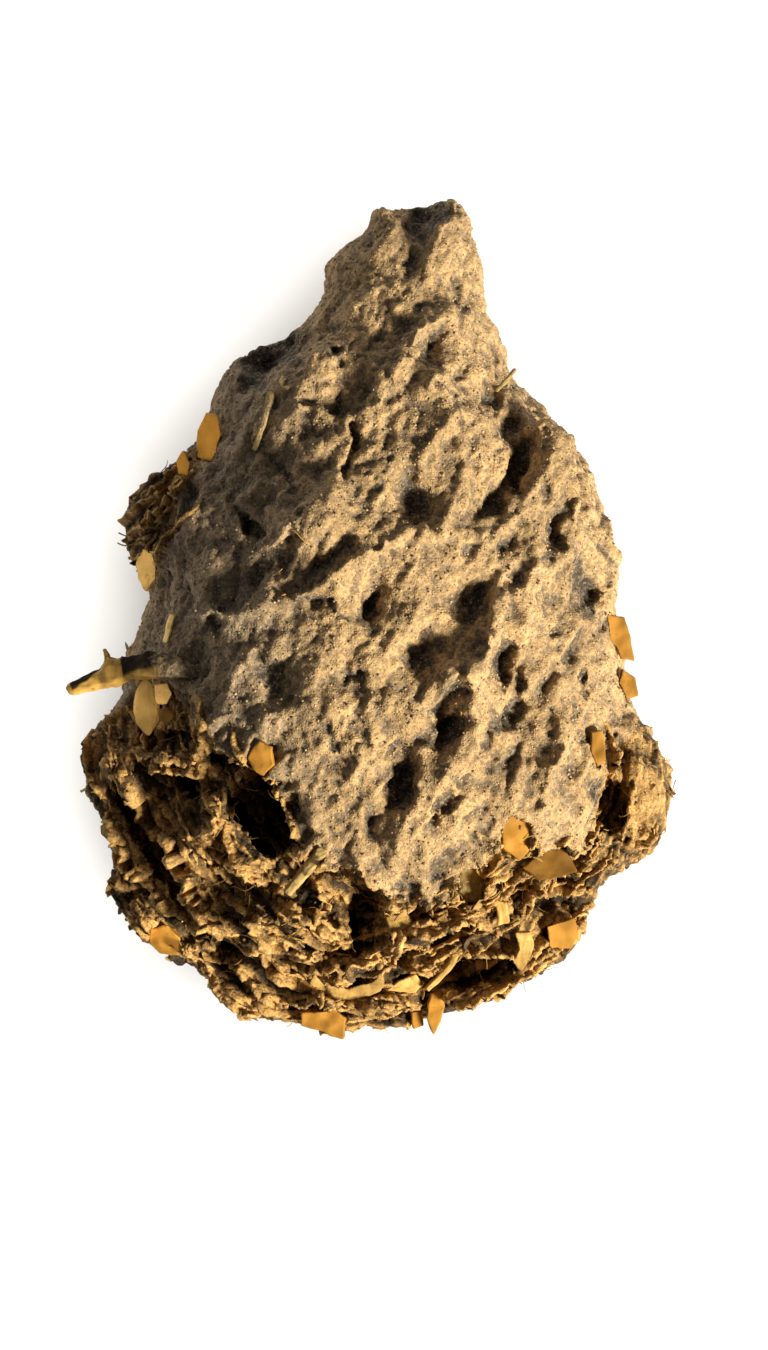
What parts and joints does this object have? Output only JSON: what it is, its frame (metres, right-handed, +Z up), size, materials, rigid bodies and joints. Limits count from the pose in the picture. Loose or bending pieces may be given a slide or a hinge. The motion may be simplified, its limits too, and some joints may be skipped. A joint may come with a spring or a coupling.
{
  "type": "coprolite",
  "caption": "Pear-shaped fossil dropping with a sandy pitted crust, a broken layered base and plant bits bedded in it, lying on its back.",
  "frame": {"origin": "middle of the underside of the whole part's box, on the surface that it rests on", "axes": "+Y towards the blunt tip, -Y towards the broken base, +Z up off the surface, +X to the right seen from above with the tip away"},
  "size_m": [0.0344, 0.0478, 0.0238],
  "materials": {
    "dung": "matte",
    "charred_twig": "matte",
    "pale_husk": "matte",
    "amber_husk": "satin",
    "straw": "matte"
  },
  "bodies": {
    "root": {"dung_mass": "dung", "twig_stub": "charred_twig", "seed_husk": "pale_husk", "husk_bit": "pale_husk", "husk_flake": "amber_husk", "lip_chip": "amber_husk", "cavity_stalk": "straw", "crust_straw": "straw", "side_straw": "straw", "neck_straw": "straw", "curled_strip": "pale_husk", "amber_flake_upper": "amber_husk", "amber_flake_lower": "amber_husk", "bright_chip": "pale_husk", "olive_chip": "straw", "pale_chip": "pale_husk", "standing_chip": "pale_husk", "corner_block": "amber_husk", "curved_peel": "pale_husk", "base_plate": "pale_husk", "base_spike": "amber_husk", "spike_chip": "amber_husk", "base_flap": "amber_husk", "rim_scale": "amber_husk", "left_strip": "amber_husk", "left_chip": "amber_husk", "left_plate": "pale_husk", "right_husk_upper": "amber_husk", "right_husk_lower": "amber_husk", "right_sliver": "amber_husk"}
  },
  "joints": []
}
